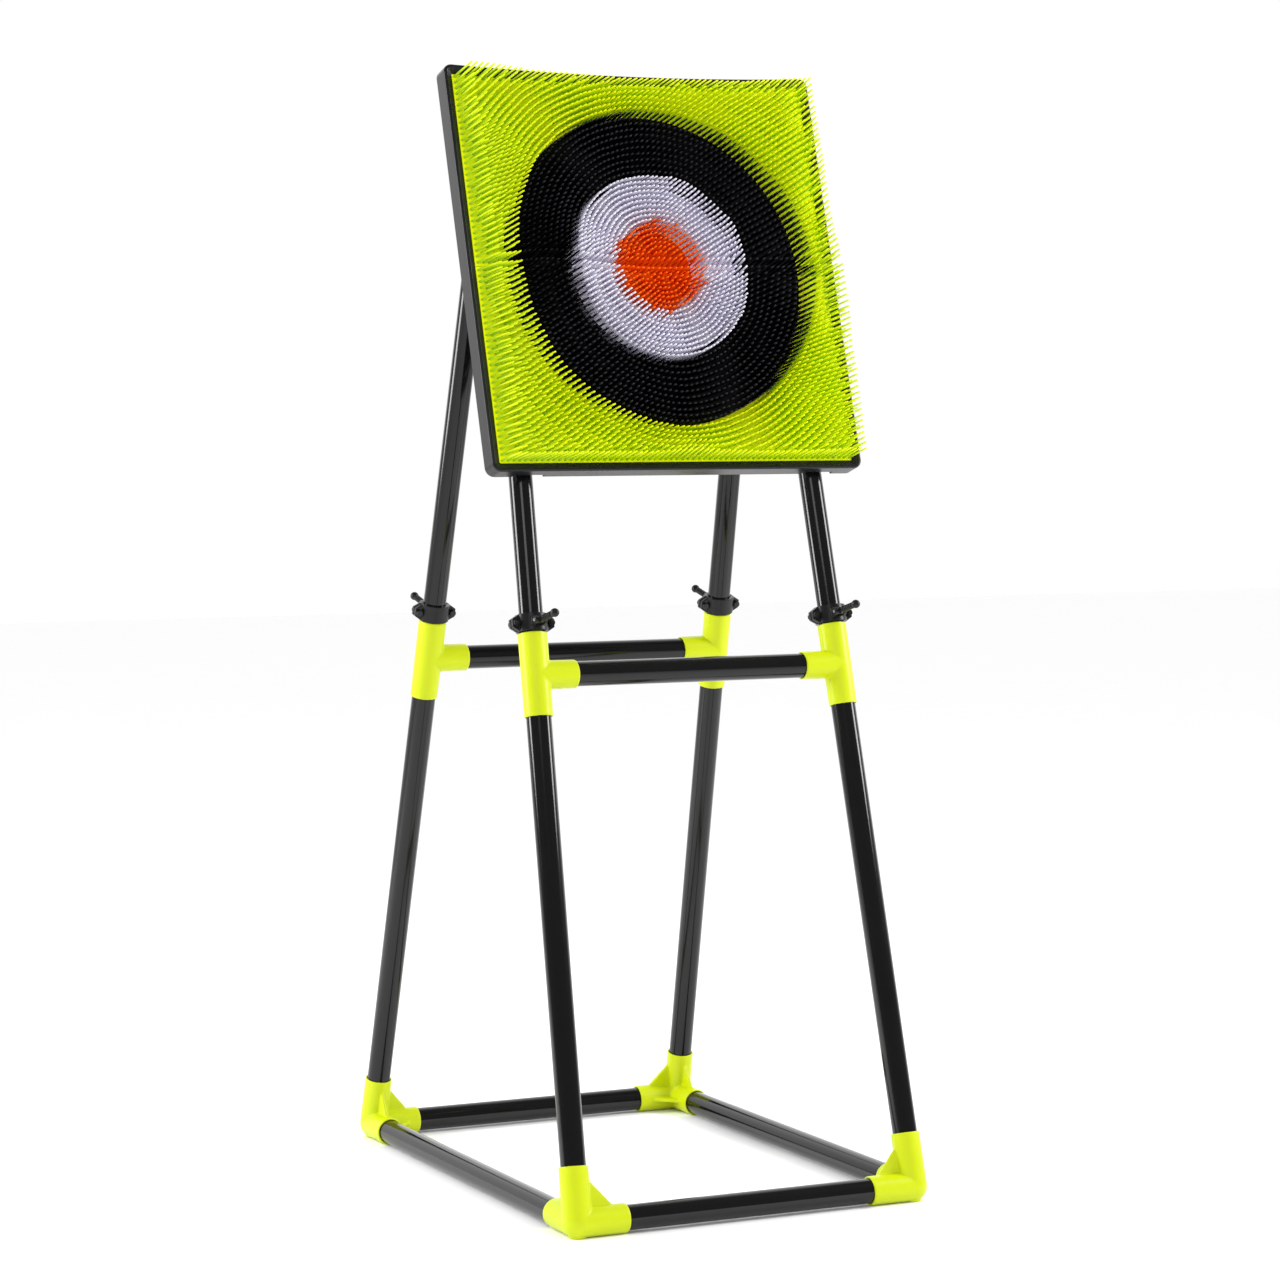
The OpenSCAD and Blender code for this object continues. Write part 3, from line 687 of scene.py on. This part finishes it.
class TARGET_OT_pivots(bpy.types.Operator):
    """Makes the tube eyes, the axle, the brackets and their pins and screws"""

    bl_idname = "target.pivots"
    bl_label = "Pivots"

    def execute(self, context):
        for name, side, end in CORNERS:
            self.add_eye(name, side, end)
        self.add_axle()
        for height in ("lower", "upper"):
            for side in SIDES:
                node = f"{height}_bracket_{side}"
                piece = welded_copy(node, f"{node}_moulding", "target", "tray_plastic")
                moulded_over(piece, 0.0008, 2)
        self.add_upper_pins()
        self.add_screws()
        return {"FINISHED"}

    def add_eye(self, name, side, end):
        leg, pivot = along_leg(side, end), PIVOT_AT[end]
        start = pivot - EYE_NECK
        bore = 0.00408 if end == FRONT else 0.007
        plug = SLIDER_R - TUBE_WALL - 0.00015
        profile = [(0, start - 0.026), (plug - 0.0008, start - 0.026), (plug, start - 0.0252), (plug, start),
                   (SLIDER_R - 0.0002, start), (SLIDER_R, start + 0.0004), (SLIDER_R, start + 0.0022),
                   (SLIDER_R - 0.0008, start + 0.003), (0.0085, start + 0.004), (0.0072, start + 0.006),
                   (0.007, pivot - 0.0086), (0, pivot - 0.0086)]
        place = on_leg(side, end, pivot)
        eye = pipe_section(0.01, bore, -0.008, 0.008, 0.0006)
        shells = [turned(profile, leg, 48), turned(eye, pointing(place, (1, 0, 0)), 64, ring=True)]
        piece = add_piece(f"tube_eye_moulding_{name}", shells, f"tube_{name}", "black_plastic",
                          [f"tube_eye_{name}"], 50)
        moulded_over(piece, 0.0008, 2)

    def add_axle(self):
        low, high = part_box("pivot_axle")
        half = (high.x - low.x) / 2
        middle = (low + high) / 2
        place = pointing(middle, (1, 0, 0))
        bevel = 0.0008
        rod = [(0, -half), (0.0032, -half), (PIVOT_R, -half + bevel), (PIVOT_R, half - bevel), (0.0032, half),
               (0, half)]
        add_piece("pivot_axle_drawn", [turned(rod, place, 48)], "axle", "bright_steel", ["pivot_axle"], 35)
        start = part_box("axle_nuts")[1].x - 0.007
        section = [(0.00401, 0.0005), (0.0045, 0), (0.0068, 0), (0.0075, 0.0007), (0.0075, 0.0052),
                   (0.0066, 0.0064), (0.0052, 0.007), (0.0045, 0.007), (0.00401, 0.0066)]

        def fluted(r, z, a):
            return np.where(r > 0.006, r - 0.0004 * (0.5 - 0.5 * np.cos(12 * a)), r), z

        nuts = [turned(section, pointing((s * start, middle.y, middle.z), (s, 0, 0)), 72, ring=True,
                       shape=fluted) for s in (LEFT, RIGHT)]
        add_piece("axle_nuts_cut", nuts, "axle", "black_steel", ["axle_nuts"], 35)

    def add_upper_pins(self):
        head_r, head, bevel = 0.0065, 0.003, 0.0007
        half = 0.0165 + head
        profile = [(0, -half), (head_r - bevel, -half), (head_r, -half + bevel), (head_r, -half + head),
                   (PIVOT_R, -half + head), (PIVOT_R, half - head), (head_r, half - head),
                   (head_r, half - bevel), (head_r - bevel, half), (0, half)]
        shells = [turned(profile, pointing(on_leg(side, REAR, PIVOT_AT[REAR]), (1, 0, 0)), 48)
                  for side in (LEFT, RIGHT)]
        add_piece("upper_pivot_pins_cut", shells, "target", "bright_steel", ["upper_pivot_pins"], 35)

    def add_screws(self):
        """Domed heads with a cross sunk in: the height falls inside four narrow arms about the middle."""
        head_r, rim, rise = 0.0035, 0.0004, 0.0016
        dome = [(0, 0), (0.0033, 0), (head_r, rim)]
        dome += [(head_r * math.cos(t), rim + rise * math.sin(t)) for t in np.linspace(0.15, 1.5, 14)]
        dome.append((0, 0.002))

        def cross(r, z, a):
            near = np.minimum(np.abs(r * np.sin(a)), np.abs(r * np.cos(a)))
            sunk = (near < 0.00045) & (r < 0.0022) & (z > 0.0005)
            return r, np.where(sunk, z - 0.0009, z)

        shells = []
        for end, low_foot in ((FRONT, 0.013), (REAR, 0.017)):
            for side in (LEFT, RIGHT):
                pivot = in_tray(on_leg(side, end, PIVOT_AT[end]))
                for dx in (-0.025, 0.025):
                    for dz in (0.007 - low_foot, 0.020):
                        spot = TARGET_PLACE @ Vector((pivot.x + dx, TRAY_D + 0.003, pivot.z + dz))
                        shells.append(turned(dome, pointing(spot, TARGET_BACK), 40, shape=cross))
        add_piece("bracket_screws_cut", shells, "target", "bright_steel", ["bracket_screws"], 35)


# ---- Target ----


def notch_places():
    """Where the front tubes pass behind the tray, along its width."""
    return [on_leg(side, FRONT, PIVOT_AT[FRONT]).x for side in (LEFT, RIGHT)]


def tray_shell():
    """A closed section carried round a rectangle with round corners.

    The point of a section at inset n and path angle a is the corner's centre, which stands n plus the corner
    radius in from both edges, plus the corner radius times (cos a, sin a). The radius shrinks with the inset.
    Where a tube passes behind, the section's depth stops short.
    """
    edge = 0.0026
    fillet = [(edge - edge * math.cos(t), edge - edge * math.sin(t)) for t in np.linspace(0, math.pi / 2, 7)]
    section = [(0, 0.0256), (0, 0.0248), (0, 0.0032)] + fillet + [
        (0.0032, 0), (0.0037, 0.0001), (0.0042, 0.0004), (0.0104, 0.0044), (0.0109, 0.0048), (0.011, 0.0052),
        (0.0107, 0.0055), (0.0046, 0.0055), (0.004, 0.006), (0.004, 0.0248), (0.0038, 0.0258), (0.0034, 0.026),
        (0.0006, 0.026), (0.0002, 0.0258)]
    inset, depth = np.array(section).T
    radius = np.maximum(TRAY_CORNER - inset, 0.002)
    quarter = np.linspace(0, np.pi / 2, 9)
    notch_ends = np.sort([c + sign * d for c in notch_places() for sign in (LEFT, RIGHT)
                          for d in (NOTCH, NOTCH + 0.0004)])
    across = np.linspace(0.225, -0.225, 25)
    notched = np.array([any(abs(s - c) < NOTCH + 0.0002 for c in notch_places()) for s in notch_ends])
    x, z, limit = [], [], []
    for k, (sx, sz) in enumerate(((1, 1), (-1, 1), (-1, -1), (1, -1))):
        angle = quarter + k * np.pi / 2
        x.append(sx * (TRAY_W / 2 - inset - radius)[:, None] + radius[:, None] * np.cos(angle))
        z.append(sz * (TRAY_H / 2 - inset - radius)[:, None] + radius[:, None] * np.sin(angle))
        limit.append(np.full(len(angle), TRAY_D))
        run = {0: across, 2: notch_ends}.get(k)
        if run is not None:
            x.append(np.repeat(run[None, :], len(inset), 0))
            z.append(np.repeat(sz * (TRAY_H / 2 - inset)[:, None], len(run), 1))
            limit.append(np.where(notched, 0.018, TRAY_D) if k == 2 else np.full(len(run), TRAY_D))
    x, z = np.concatenate(x, 1), np.concatenate(z, 1)
    y = np.minimum(np.repeat(depth[:, None], x.shape[1], 1), np.concatenate(limit)[None, :])
    points = bowed(np.stack([x, y, z], -1).reshape(-1, 3))
    return placed(points, TARGET_PLACE), grid_faces(*x.shape, wrap_rows=True).tolist()


class TARGET_OT_tray(bpy.types.Operator):
    """Moulds the tray round the bristles, and its ribbed back cover"""

    bl_idname = "target.tray"
    bl_label = "Tray and Cover"

    def execute(self, context):
        add_piece("target_tray_moulding", [tray_shell()], "target", "tray_plastic", ["target_tray"], 32)
        self.add_cover()
        return {"FINISHED"}

    def add_cover(self):
        """The depth at each place: a flat skin, less shallow pockets with soft edges, less the notches."""
        half_w, half_h, rib_pitch, rib_half, ease = TRAY_W / 2 - 0.0045, TRAY_H / 2 - 0.0045, 0.08, 0.004, 0.003
        xs = np.unique(np.concatenate([np.linspace(-half_w, half_w, 121)]
                                      + [[c - NOTCH - 0.0005, c - NOTCH, c + NOTCH, c + NOTCH + 0.0005]
                                         for c in notch_places()]))
        zs = np.unique(np.append(np.linspace(-half_h, half_h, 125), [-0.2205, -0.22]))
        x, z = np.meshgrid(xs, zs)

        def soft_step(v):
            t = np.clip(v, 0, 1)
            return t * t * (3 - 2 * t)

        def pocket(v):
            edge = np.abs((v / rib_pitch + 0.5) % 1 - 0.5) * rib_pitch
            return soft_step((edge - rib_half) / ease)

        sunk = pocket(x) * pocket(z)
        inside = soft_step((half_w - 0.012 - np.abs(x)) / ease) * soft_step((half_h - 0.012 - np.abs(z)) / ease)
        under_foot = np.ones_like(x)
        for end in (FRONT, REAR):
            for side in (LEFT, RIGHT):
                pivot = in_tray(on_leg(side, end, PIVOT_AT[end]))
                away = np.maximum(np.abs(x - pivot.x) - 0.035, np.abs(z - pivot.z - 0.006) - 0.028)
                under_foot *= soft_step(away / ease)
        depth = TRAY_D - 0.0013 * sunk * inside * under_foot
        for c in notch_places():
            depth = np.where((np.abs(x - c) < NOTCH + 0.0002) & (z < -0.2202), 0.0178, depth)
        points = bowed(np.stack([x, depth, z], -1).reshape(-1, 3))
        faces = grid_faces(*x.shape, wrap_columns=False).tolist()
        piece = add_piece("back_cover_moulding", [(placed(points, TARGET_PLACE), faces)], "target",
                          "tray_plastic", ["back_panel"], 45, recalculate=False)
        if TARGET_BACK.dot(piece.data.polygons[0].normal) < 0:
            piece.data.flip_normals()
        wall = piece.modifiers.new("wall", "SOLIDIFY")
        wall.thickness, wall.offset = 0.0025, -1


def colour_boards(colours):
    """The board's plastic takes each ring's colour from the distance to the rings' middle on its face."""
    made, reach, zone_end, lime_shift = look("board_plastic"), 0.4, 0.011, 0.007
    tree = made.node_tree
    away = new_node(tree, "VectorMath")
    away.operation = "DISTANCE"
    away.inputs[1].default_value = TARGET_PLACE @ Vector((0, BOARD_DEPTH, -RING_DROP))
    place = next(n for n in tree.nodes if n.bl_idname == "ShaderNodeTexCoord")
    link(place, "Object", away, 0)
    rings = new_node(tree, "ValToRGB")
    rings.color_ramp.interpolation = "CONSTANT"
    spread = new_node(tree, "MapRange", From_Max=reach)
    link(away, "Value", spread, "Value")
    link(spread, "Result", rings, "Fac")
    tints = {"orange": colours.bristle_orange, "white": colours.bristle_white, "black": colours.black,
             "lime": colours.bristle_lime}
    while len(rings.color_ramp.elements) < len(BANDS):
        rings.color_ramp.elements.new(0.5)
    for element, (tint, inner, _) in zip(rings.color_ramp.elements, BANDS):
        element.position = max(inner - zone_end + lime_shift * (tint == "lime"), 0) / reach
        element.color = (*tints[tint], 1)
    link(rings, "Color", tree.nodes["Principled BSDF"], "Base Color")


class TARGET_OT_boards(bpy.types.Operator):
    """Moulds the two boards that the bristles stand on"""

    bl_idname = "target.boards"
    bl_label = "Bristle Boards"

    def execute(self, context):
        colour_boards(context.scene.target_colours)
        seam, edge = 0.00025, 0.0006
        half_w, half_h = TRAY_W / 2 - TRAY_WALL - 0.0003, TRAY_H / 2 - TRAY_WALL - 0.0003
        for name, low, high in (("upper", seam, half_h), ("lower", -half_h, -seam)):
            section = [(edge, BOARD_DEPTH), (0, BOARD_DEPTH + edge), (0, BOARD_DEPTH + BOARD_THICK)]
            across = np.linspace(-1, 1, 25)
            rings = []
            for inset, depth in section:
                x = np.concatenate([across, across[::-1]]) * (half_w - inset)
                z = np.repeat([low + inset, high - inset], len(across))
                rings.append(np.stack([x, np.full(len(x), depth), z], -1))
            count = len(rings[0])
            ends = [list(range(count)), list(range(3 * count - 1, 2 * count - 1, -1))]
            faces = grid_faces(3, count).tolist() + ends
            shells = [(placed(bowed(np.concatenate(rings)), TARGET_PLACE), faces)]
            add_piece(f"bristle_board_{name}_moulding", shells, "target", "board_plastic",
                      [f"bristle_board_{name}"], 30)
        return {"FINISHED"}


# The inner bristles' pitch against the outer ones', and the room that rings leave to straight rows.
FINE, ROW_ROOM = 0.84, 0.62


def bristle_places(pitch):
    """Roots in the plane of the board: rings about the middle, then straight rows at the edges and the seam."""
    edge_x, edge_z, gap, room = TRAY_W / 2 - RIM - 0.0035, TRAY_H / 2 - RIM - 0.0035, 0.0048, pitch * ROW_ROOM
    x, z = [], []
    inner_edge = BANDS[1][2]
    fine = inner_edge / round(inner_edge / (pitch * FINE))
    radii = [((k + 0.5) * fine, fine) for k in range(int(round(inner_edge / fine)))]
    outer_rings = 36
    radii += [(inner_edge + (k + 0.5) * pitch, pitch) for k in range(outer_rings)]
    for k, (radius, gap_here) in enumerate(radii):
        count = max(int(round(2 * np.pi * radius / gap_here)), 3)
        a = (np.arange(count) + 0.5 * (k % 2)) * 2 * np.pi / count
        x.append(radius * np.cos(a))
        z.append(radius * np.sin(a) - RING_DROP)
    x, z = np.concatenate(x), np.concatenate(z)
    keep = (np.abs(x) < edge_x - room) & (np.abs(z) < edge_z - room) & (np.abs(z) > gap + room)
    x, z = x[keep], z[keep]
    across = np.linspace(-edge_x, edge_x, int(round(2 * edge_x / pitch)) + 1)
    up = np.linspace(gap, edge_z, int(round(edge_z / pitch)) + 1)[1:-1]
    for sign in (1, -1):
        x = np.concatenate([x, across, across, np.full(len(up), -edge_x), np.full(len(up), edge_x)])
        z = np.concatenate([z, np.full(len(across), sign * edge_z), np.full(len(across), sign * gap), sign * up,
                            sign * up])
    return x, z


# The lean chosen at some places, in millimetres: across, up, and the tip's offset to the right and up.
LEAN_UPPER = [(-237, 245, 15, 12), (-120, 245, 11, 4), (0, 245, 8, 1), (120, 245, 7.5, 1.5), (237, 245, 7, 5),
              (-237, 120, 20, 8), (-237, 8, 20.7, 6), (-160, 8, 14, 9), (0, 8, -3, -1), (150, 8, 3, 2),
              (237, 8, 15, 9), (237, 120, 9, 9), (0, 200, 2, 1), (-150, 145, 12, 8), (140, 140, 1, 2),
              (-70, 60, 1, 1), (0, 119, 0, -4), (0, 55, -2, -4), (70, 70, -6, -3), (119, 20, -6, 0),
              (200, 60, 6, 4)]
LEAN_LOWER = [(-237, -8, 21.2, 4), (-160, -8, 14, 7), (0, -8, -4, -4), (150, -8, 4, 1), (237, -8, 18.2, 7),
              (-237, -120, 20, 3), (-237, -225, 18.5, 3), (-237, -248, 14, 3), (0, -248, 8.5, 5.5),
              (237, -248, 10, 3.7), (237, -60, 17, 4), (237, -120, 13.5, 3), (237, -200, 12, 3),
              (0, -195, 1, -4), (-140, -140, 7, 1), (140, -140, 3, -1), (-60, -70, 1, -1), (60, -70, -4, -3),
              (119, -20, -5, 0), (195, -70, 6, 1)]


def bristle_lean(x, z, random):
    """How far each tip stands to the right of its root and above it.

    Each board's lean is the mean of its chosen leans, weighted by the inverse cube of their distances.
    A slow wave and a little chance are added.
    """
    lean = np.zeros((2, len(x)))
    for chosen, half in ((LEAN_UPPER, z > 0), (LEAN_LOWER, z < 0)):
        kx, kz, right, up = np.array(chosen).T * MM
        apart = np.hypot(x[:, None] - kx, z[:, None] - kz) + 0.012
        weight = apart**-3.0
        total = weight.sum(1)
        lean = np.where(half, np.stack([(weight * right).sum(1), (weight * up).sum(1)]) / total, lean)
    wave = 0.0005 * np.stack([np.sin(x / 0.021 + 2.1 * np.sin(z / 0.033)),
                              np.sin(z / 0.019 + 1.7 * np.sin(x / 0.029))])
    return lean + wave + random.normal(0, 0.0003, lean.shape)


def bristle_shell(x, z, lean_x, lean_z, sizes, random):
    """Every bristle at once: a six-sided rod, whose middle line bends to its lean.

    The middle line at t is root + height t + lean (0.55 t + 0.45 t squared), and the radius falls from root to
    tip, then closes over a rounded end.
    """
    length = sizes.bristle_length * (1 + random.normal(0, 0.012, x.shape))
    height = np.sqrt(length**2 - lean_x**2 - lean_z**2)
    t = np.array([0.0, 0.4, 0.75, 0.965, 0.995])
    thick = np.array([sizes.bristle_root, sizes.bristle_root * 0.92, sizes.bristle_tip * 1.04,
                      sizes.bristle_tip, sizes.bristle_tip * 0.55])[None, :, None]
    bend = (0.55 * t + 0.45 * t * t)[None, :, None]
    a = np.arange(6) * np.pi / 3
    turn = random.uniform(0, np.pi / 3, x.shape)
    angle = turn[:, None, None] + a[None, None, :]
    px = x[:, None, None] + lean_x[:, None, None] * bend + thick * np.cos(angle)
    pz = z[:, None, None] + lean_z[:, None, None] * bend + thick * np.sin(angle)
    py = BOARD_DEPTH + 0.0005 - height[:, None, None] * t[None, :, None] + 0 * angle
    points = bowed(np.stack([px, py, pz], -1).reshape(-1, 3))
    rings = len(t)
    one = np.concatenate([grid_faces(rings, 6), [[0, 1, 2, 3], [0, 3, 4, 5]],
                          np.array([[3, 2, 1, 0], [5, 4, 3, 0]]) + 6 * (rings - 1)])
    faces = (one[None] + (np.arange(len(x)) * 6 * rings)[:, None, None]).reshape(-1, 4)
    return placed(points, TARGET_PLACE), faces


class TARGET_OT_bristles(bpy.types.Operator):
    """Plants the soft bristles, ring by ring and board by board"""

    bl_idname = "target.bristles"
    bl_label = "Bristles"

    def execute(self, context):
        sizes = context.scene.target_sizes
        random = np.random.default_rng(11)
        x, z = bristle_places(sizes.bristle_pitch)
        lean_x, lean_z = bristle_lean(x, z, random)
        radius = np.hypot(x, z + RING_DROP)
        for tint, inner, outer in BANDS:
            for name, half in (("upper", z > 0), ("lower", z < 0)):
                pick = (radius >= inner) & (radius < outer) & half
                points, faces = bristle_shell(x[pick], z[pick], lean_x[pick], lean_z[pick], sizes, random)
                mesh = bpy.data.meshes.new(f"soft_bristles_{tint}_{name}")
                mesh.vertices.add(len(points))
                mesh.vertices.foreach_set("co", points.ravel())
                mesh.loops.add(faces.size)
                mesh.loops.foreach_set("vertex_index", faces.ravel().astype(np.int32))
                mesh.polygons.add(len(faces))
                mesh.polygons.foreach_set("loop_start", np.arange(len(faces), dtype=np.int32) * 4)
                mesh.update(calc_edges=True)
                piece = place_mesh(mesh.name, mesh, "target", f"bristle_{tint}",
                                   [f"bristles_{tint}_{name}"], 75)
                if outward_volume(points, faces) < 0:
                    piece.data.flip_normals()
        return {"FINISHED"}


def outward_volume(points, faces):
    """Six times the volume inside the faces, below zero when they point inwards."""
    a, b, c, d = (points[faces[:, i]] for i in range(4))
    return float((np.cross(a, b) * c).sum() + (np.cross(a, c) * d).sum())


# ---- Stage ----


# The soft boxes: name, place, the point that each faces, width, height and radiance.
SOFT_BOXES = (("left_box", (-2.35, 1.00, 1.50), (0, 0, 1.2), 0.8, 1.7, 14.0),
              ("right_box", (2.35, -1.10, 1.85), (0, 0, 1.3), 0.8, 1.7, 14.0),
              ("front_box", (-1.9, -3.4, 2.8), (0, 0, 0.75), 1.4, 1.2, 3.0))
# The camera's place, its yaw, pitch and roll, and its lens in millimetres, then the way to the bright screen.
CAMERA_PLACE, CAMERA_TURN, CAMERA_LENS = (-1.9028, -4.0118, 0.9443), (25.54, -3.59, -0.16), 100.2
SCREEN_WAY = (0.431, 0.902, 0)


class TARGET_OT_stage(bpy.types.Operator):
    """Sets the pale floor, the soft studio lights and the camera"""

    bl_idname = "target.stage"
    bl_label = "Stage"

    def execute(self, context):
        scene = context.scene
        scene.view_settings.view_transform = "Standard"
        self.add_world(scene)
        self.add_floor(scene)
        for box in SOFT_BOXES:
            self.add_box(scene, *box)
        self.add_camera(scene)
        return {"FINISHED"}

    def add_world(self, scene):
        """A white world, in which reflections see a bright screen behind the target and dim walls elsewhere."""
        world = bpy.data.worlds.new("studio")
        world.use_nodes = True
        tree = world.node_tree
        sky = tree.nodes["Background"]
        where = new_node(tree, "TexCoord")
        facing = new_node(tree, "VectorMath")
        facing.operation = "DOT_PRODUCT"
        facing.inputs[1].default_value = SCREEN_WAY
        link(where, "Generated", facing, 0)
        drape = new_node(tree, "MapRange", From_Min=0.25, From_Max=0.8, To_Min=0.2, To_Max=1.5)
        drape.interpolation_type = "SMOOTHSTEP"
        link(facing, "Value", drape, "Value")
        rays = new_node(tree, "LightPath")
        level = new_node(tree, "MapRange", To_Min=1.0)
        link(rays, "Is Glossy Ray", level, "Value")
        link(drape, "Result", level, "To Max")
        link(level, "Result", sky, "Strength")
        sky.inputs["Color"].default_value = (1, 1, 1, 1)
        scene.world = world

    def add_floor(self, scene):
        mesh, r = bpy.data.meshes.new("floor"), 12.0
        mesh.from_pydata([(-r, -r, 0), (r, -r, 0), (r, r, 0), (-r, r, 0)], [], [(0, 1, 2, 3)])
        mesh.materials.append(finish("pale_floor", (0.99, 0.99, 0.99), 0.85, shade=0.005, specular=0.1))
        floor = bpy.data.objects.new("floor", mesh)
        scene.collection.objects.link(floor)

    def add_box(self, scene, name, place, aim, width, height, radiance):
        light = bpy.data.lights.new(name, "AREA")
        light.shape, light.size, light.size_y = "RECTANGLE", width, height
        light.energy = radiance * math.pi * width * height
        box = bpy.data.objects.new(name, light)
        box.location = place
        box.rotation_euler = (Vector(aim) - Vector(place)).to_track_quat("-Z", "Y").to_euler()
        scene.collection.objects.link(box)

    def add_camera(self, scene):
        yaw, pitch, roll = (math.radians(turn) for turn in CAMERA_TURN)
        ahead = Vector((math.sin(yaw) * math.cos(pitch), math.cos(yaw) * math.cos(pitch), math.sin(pitch)))
        level = Vector((math.cos(yaw), -math.sin(yaw), 0))
        above = level.cross(ahead)
        side = math.cos(roll) * level + math.sin(roll) * above
        up = -math.sin(roll) * level + math.cos(roll) * above
        camera = bpy.data.objects.new("camera", bpy.data.cameras.new("camera"))
        camera.data.sensor_width, camera.data.lens = 36.0, CAMERA_LENS
        turn = Matrix((side, up, -ahead)).transposed().to_4x4()
        camera.matrix_world = Matrix.Translation(CAMERA_PLACE) @ turn
        scene.collection.objects.link(camera)
        scene.camera = camera


class TARGET_PT_builder(bpy.types.Panel):
    """Lists the pieces that can be built"""

    bl_idname = "TARGET_PT_builder"
    bl_label = "Throwing Target"
    bl_space_type = "VIEW_3D"
    bl_region_type = "UI"
    bl_category = "Target"

    def draw(self, context):
        for group in (context.scene.target_sizes, context.scene.target_colours):
            for name in group.__annotations__:
                self.layout.prop(group, name)
        for operator in OPERATORS:
            self.layout.operator(operator.bl_idname)


OPERATORS = (TARGET_OT_stage, TARGET_OT_corners, TARGET_OT_tees, TARGET_OT_tubes, TARGET_OT_clamps,
             TARGET_OT_clamp_screws, TARGET_OT_levers, TARGET_OT_pivots, TARGET_OT_tray, TARGET_OT_boards,
             TARGET_OT_bristles)
CLASSES = (TargetSizes, TargetColours, *OPERATORS, TARGET_PT_builder)


def register():
    for made in CLASSES:
        bpy.utils.register_class(made)
    bpy.types.Scene.target_sizes = bpy.props.PointerProperty(type=TargetSizes)
    bpy.types.Scene.target_colours = bpy.props.PointerProperty(type=TargetColours)


def unregister():
    del bpy.types.Scene.target_colours
    del bpy.types.Scene.target_sizes
    for made in reversed(CLASSES):
        bpy.utils.unregister_class(made)


def main():
    register()
    for operator in OPERATORS:
        group, name = operator.bl_idname.split(".")
        getattr(getattr(bpy.ops, group), name)()


if __name__ == "__main__":
    main()
